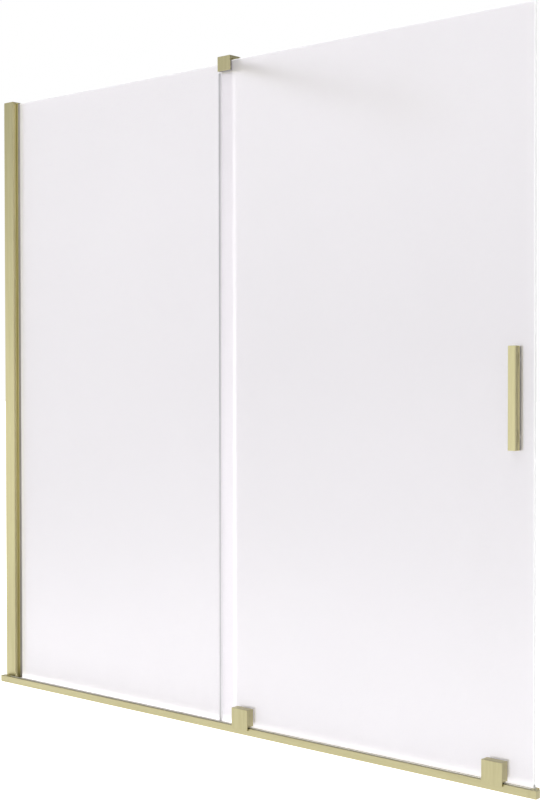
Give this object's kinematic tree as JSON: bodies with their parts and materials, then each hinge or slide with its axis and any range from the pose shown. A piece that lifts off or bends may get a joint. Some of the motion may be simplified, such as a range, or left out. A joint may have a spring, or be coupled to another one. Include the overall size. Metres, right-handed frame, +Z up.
{
  "type": "sliding bath screen",
  "caption": "Sliding screen for the rim of a bath: frosted panes, one fixed in a wall channel and one on rollers along a low rail, with pale gold fittings and a bar to the wall.",
  "frame": {"origin": "middle of the seating face under the rail and its sill, which rests on the rim of the bath", "axes": "+X along the rim from the wall with the channel to the free end, +Y over the bath to the wall behind it, +Z up"},
  "size_m": [1.5, 0.7041, 1.421],
  "materials": {
    "gold": "brushed pale gold, anodised",
    "frosted_glass": "satin frosted",
    "steel": "plain stainless",
    "dark_gasket": "dull dark olive",
    "pale_seal": "translucent grey",
    "nylon": "natural white"
  },
  "bodies": {
    "screen_frame": {"sill_channel": "gold", "sill_gaskets": "pale_seal", "sill_filler": "gold", "setting_blocks": "nylon", "rail_track": "gold", "running_strip": "steel", "rail_screws": "steel", "rail_wall_block": "gold", "rail_end_cap": "gold", "opening_stop": "pale_seal", "closing_stop": "pale_seal", "wall_channel": "gold", "wall_channel_cap": "gold", "glass_profile": "gold", "glass_profile_gaskets": "dark_gasket", "locking_screws": "steel", "fixed_glass": "frosted_glass", "guide_body": "gold", "guide_glides": "dark_gasket", "guide_gaskets": "dark_gasket", "guide_bush": "nylon", "guide_clamp_plate": "gold", "guide_screws": "steel", "support_bar": "gold", "bar_grub_screws": "steel", "wall_flange": "gold"},
    "sliding_panel": {"sliding_glass": "frosted_glass", "meeting_seal": "pale_seal", "bottom_seal": "pale_seal", "carriage_cover_left": "gold", "carriage_cover_right": "gold", "carriage_body_left": "gold", "carriage_body_right": "gold", "carriage_back_plate_left": "gold", "carriage_back_plate_right": "gold", "carriage_pads": "pale_seal", "carriage_screws": "steel", "carriage_bushes": "nylon", "roller_axle_left": "steel", "roller_axle_right": "steel", "axle_spacers": "steel", "handle_bar": "gold", "handle_base": "gold", "handle_spacers": "gold", "handle_back_plate": "gold", "handle_pads": "nylon", "handle_screws": "steel", "handle_bushes": "nylon"},
    "roller_left": {"roller_tyre_left": "nylon", "roller_flanges_left": "steel", "roller_bearing_left": "steel"},
    "roller_right": {"roller_tyre_right": "nylon", "roller_flanges_right": "steel", "roller_bearing_right": "steel"}
  },
  "joints": [
    {"name": "panel_slide", "type": "slide", "parent": "screen_frame", "child": "sliding_panel", "axis": [1, 0, 0], "range_m": [-0.67, 0]},
    {"name": "roller_left_spin", "type": "hinge", "parent": "sliding_panel", "child": "roller_left", "pos_m": [0.045, -0.0142, 0.028], "axis": [0, 1, 0], "continuous": true},
    {"name": "roller_right_spin", "type": "hinge", "parent": "sliding_panel", "child": "roller_right", "pos_m": [0.6605, -0.0142, 0.028], "axis": [0, 1, 0], "continuous": true}
  ],
  "couplings": [
    {"joint": "roller_left_spin", "follows": "panel_slide", "rad_per_m": 85.47},
    {"joint": "roller_right_spin", "follows": "panel_slide", "rad_per_m": 85.47}
  ]
}
